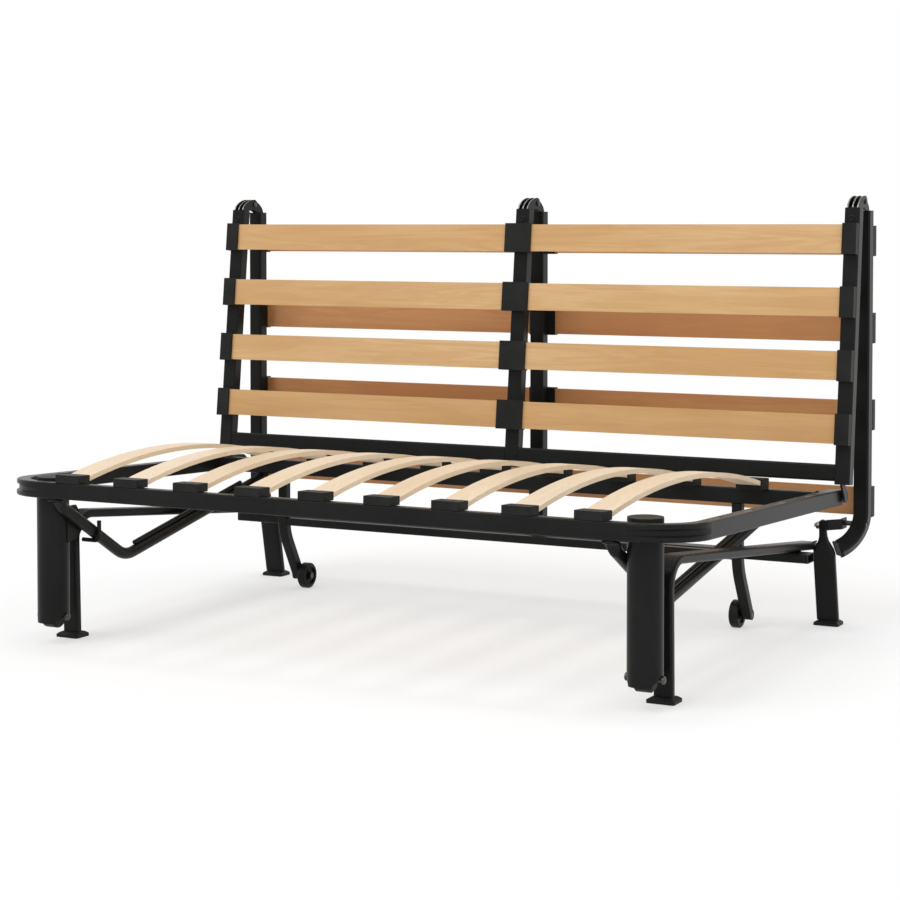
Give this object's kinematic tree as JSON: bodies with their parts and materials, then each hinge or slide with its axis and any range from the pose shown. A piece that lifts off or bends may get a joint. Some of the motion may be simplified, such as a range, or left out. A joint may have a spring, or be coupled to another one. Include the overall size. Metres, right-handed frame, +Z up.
{
  "type": "sofa bed frame",
  "caption": "Fold-out sofa bed frame with slatted seat and two-part slatted back, folded up as a sofa; the back unfolds and the seat rolls forward into a bed.",
  "frame": {"origin": "on the floor, under the middle of the folded frame", "axes": "+X along the sofa to its right as seen from behind the seat front, +Y from the seat front to the back, +Z up"},
  "size_m": [1.424, 0.955, 0.839],
  "materials": {
    "black_steel": "satin",
    "black_plastic": "matte",
    "wheel_plastic": "satin",
    "zinc_steel": "satin",
    "seat_birch": "satin lacquer",
    "back_birch": "satin lacquer"
  },
  "bodies": {
    "base": {"side_frame_left": "black_steel", "side_frame_right": "black_steel", "rear_leg_left": "black_steel", "rear_leg_right": "black_steel", "rear_cross_tube": "black_steel", "feet": "black_plastic", "pivot_bracket_left": "black_steel", "pivot_bracket_right": "black_steel"},
    "rear_panel": {"rear_upright_left": "black_steel", "rear_upright_middle": "black_steel", "rear_upright_right": "black_steel", "rear_hinge_fingers": "black_steel", "top_hinge_pins": "zinc_steel", "pivot_pin_left": "zinc_steel", "pivot_pin_right": "zinc_steel", "rear_slats_1": "back_birch", "rear_slats_2": "back_birch", "rear_slats_3": "back_birch", "rear_slats_4": "back_birch", "rear_holders": "black_plastic"},
    "front_panel": {"front_upright_left": "black_steel", "front_upright_middle": "black_steel", "front_upright_right": "black_steel", "bottom_rail": "black_steel", "seat_hinge_left": "black_steel", "seat_hinge_right": "black_steel", "front_hinge_fingers": "black_steel", "front_slats_1": "back_birch", "front_slats_2": "back_birch", "front_slats_3": "back_birch", "front_slats_4": "back_birch", "front_holders": "black_plastic"},
    "seat": {"seat_frame": "black_steel", "seat_rear_rail": "black_steel", "seat_slat_1": "seat_birch", "seat_slat_2": "seat_birch", "seat_slat_3": "seat_birch", "seat_slat_4": "seat_birch", "seat_slat_5": "seat_birch", "seat_slat_6": "seat_birch", "seat_slat_7": "seat_birch", "seat_slat_8": "seat_birch", "seat_slat_9": "seat_birch", "front_slat_caps": "black_plastic", "rear_slat_caps": "black_plastic", "front_leg_left": "black_steel", "front_leg_right": "black_steel", "leg_caps": "black_plastic", "support_tube_left": "black_steel", "support_tube_right": "black_steel", "wheel_leg_left": "black_steel", "wheel_leg_right": "black_steel", "wheel_leg_tie": "black_steel", "axles": "zinc_steel", "support_rods": "black_steel", "leg_webs": "black_steel"},
    "wheel_left": {"wheel_left": "wheel_plastic"},
    "wheel_right": {"wheel_right": "wheel_plastic"},
    "roller_left": {"roller_left": "wheel_plastic"},
    "roller_right": {"roller_right": "wheel_plastic"}
  },
  "joints": [
    {"name": "back_fold", "type": "hinge", "parent": "base", "child": "rear_panel", "pos_m": [0, 0.436, 0.2], "axis": [1, 0, 0], "range_deg": [0, 88]},
    {"name": "top_hinge", "type": "hinge", "parent": "rear_panel", "child": "front_panel", "pos_m": [0, 0.415, 0.827], "axis": [1, 0, 0], "range_deg": [-176.83, 0]},
    {"name": "seat_hinge", "type": "hinge", "parent": "front_panel", "child": "seat", "pos_m": [0, 0.338, 0.265], "axis": [1, 0, 0], "range_deg": [0, 91.1]},
    {"name": "wheel_spin_left", "type": "hinge", "parent": "seat", "child": "wheel_left", "pos_m": [-0.489, 0.312, 0.027], "axis": [1, 0, 0], "continuous": true},
    {"name": "wheel_spin_right", "type": "hinge", "parent": "seat", "child": "wheel_right", "pos_m": [0.489, 0.312, 0.027], "axis": [1, 0, 0], "continuous": true},
    {"name": "roller_spin_left", "type": "hinge", "parent": "seat", "child": "roller_left", "pos_m": [-0.596, -0.4205, 0.051], "axis": [1, 0, 0], "continuous": true},
    {"name": "roller_spin_right", "type": "hinge", "parent": "seat", "child": "roller_right", "pos_m": [0.596, -0.4205, 0.051], "axis": [1, 0, 0], "continuous": true}
  ],
  "couplings": [
    {"joint": "top_hinge", "follows": "back_fold", "ratio": -2.0094},
    {"joint": "seat_hinge", "follows": "back_fold", "ratio": 1.0351}
  ]
}
